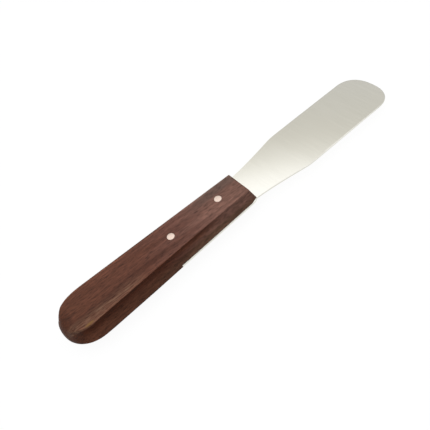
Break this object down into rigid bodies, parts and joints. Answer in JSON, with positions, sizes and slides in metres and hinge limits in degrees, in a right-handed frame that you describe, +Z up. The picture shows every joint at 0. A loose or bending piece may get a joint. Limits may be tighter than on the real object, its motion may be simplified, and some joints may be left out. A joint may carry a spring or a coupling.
{
  "type": "palette knife",
  "caption": "Palette knife with a broad, round-tipped flexible steel blade pinned into a slotted wooden handle, for mixing, scraping and spreading paint.",
  "frame": {"origin": "under the middle of the knife's length, on the plane that the handle rests on", "axes": "+X runs along the knife to the blade's tip, +Y across the blade, +Z up out of the handle's upper flat face"},
  "size_m": [0.19, 0.0272, 0.0124],
  "materials": {
    "blade_steel": "fine polished stainless steel",
    "handle_wood": "satin oiled rosewood",
    "pin_brass": "filed flush, pale"
  },
  "bodies": {
    "root": {"blade": "blade_steel", "handle": "handle_wood", "front_pin": "pin_brass", "rear_pin": "pin_brass"}
  },
  "joints": []
}
